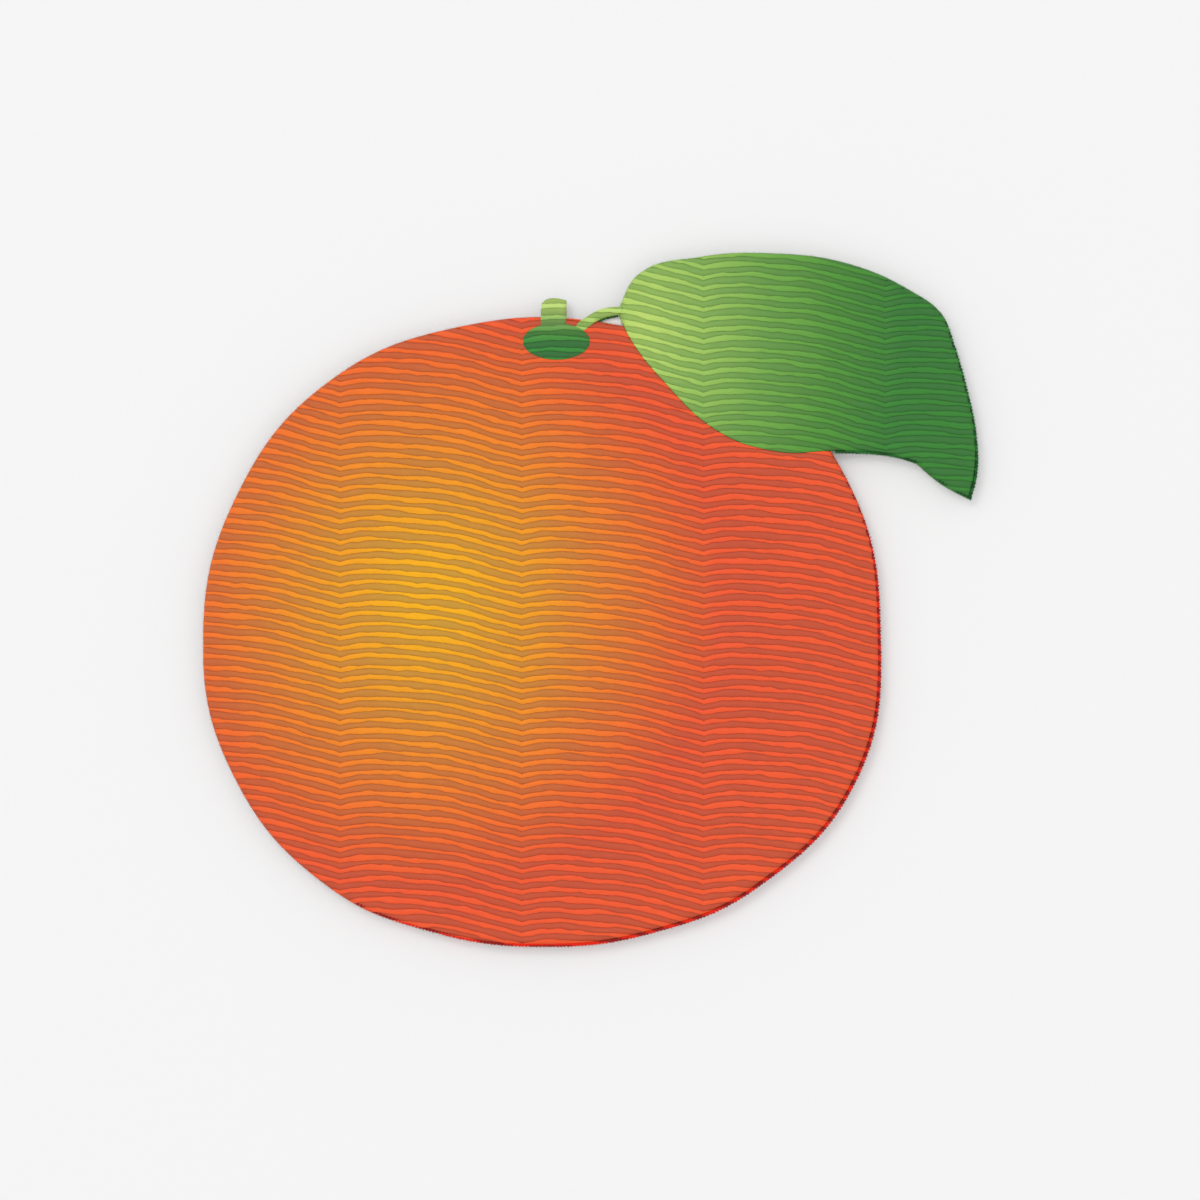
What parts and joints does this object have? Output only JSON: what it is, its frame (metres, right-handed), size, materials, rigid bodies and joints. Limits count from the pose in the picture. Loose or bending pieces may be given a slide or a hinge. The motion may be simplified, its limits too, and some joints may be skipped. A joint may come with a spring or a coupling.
{
  "type": "embroidered fruit patch",
  "caption": "Flat embroidered patch in the outline of a mandarin with a calyx, a cut stem and one leaf, on a white ground cloth with a heat-seal back.",
  "frame": {"origin": "middle of the back: the centre of the overall box, on the film's underside", "axes": "+X to the leaf's side along the longest extent, +Y up the fruit to the stem, +Z out of the stitches"},
  "size_m": [0.06, 0.0538, 0.0014],
  "materials": {
    "orange_thread": "soft-sheen embroidery thread, shaded from yellow-orange to red-orange",
    "leaf_thread": "soft-sheen embroidery thread, shaded from light to dark green",
    "calyx_thread": "soft-sheen dark green embroidery thread",
    "stem_thread": "soft-sheen light green embroidery thread",
    "bobbin_thread": "matt white thread",
    "ground_cloth": "plain-woven white cotton",
    "stabiliser": "non-woven felt",
    "adhesive_film": "satin heat-seal film"
  },
  "bodies": {
    "root": {"adhesive_film": "adhesive_film", "fruit_bobbin_stitches": "bobbin_thread", "leaf_bobbin_stitches": "bobbin_thread", "stabiliser_sheet": "stabiliser", "ground_cloth": "ground_cloth", "fruit_underlay": "orange_thread", "leaf_underlay": "leaf_thread", "fruit_stitches": "orange_thread", "leaf_stitches": "leaf_thread", "calyx_stitches": "calyx_thread", "stem_stitches": "stem_thread", "stalk_stitches": "stem_thread"}
  },
  "joints": []
}
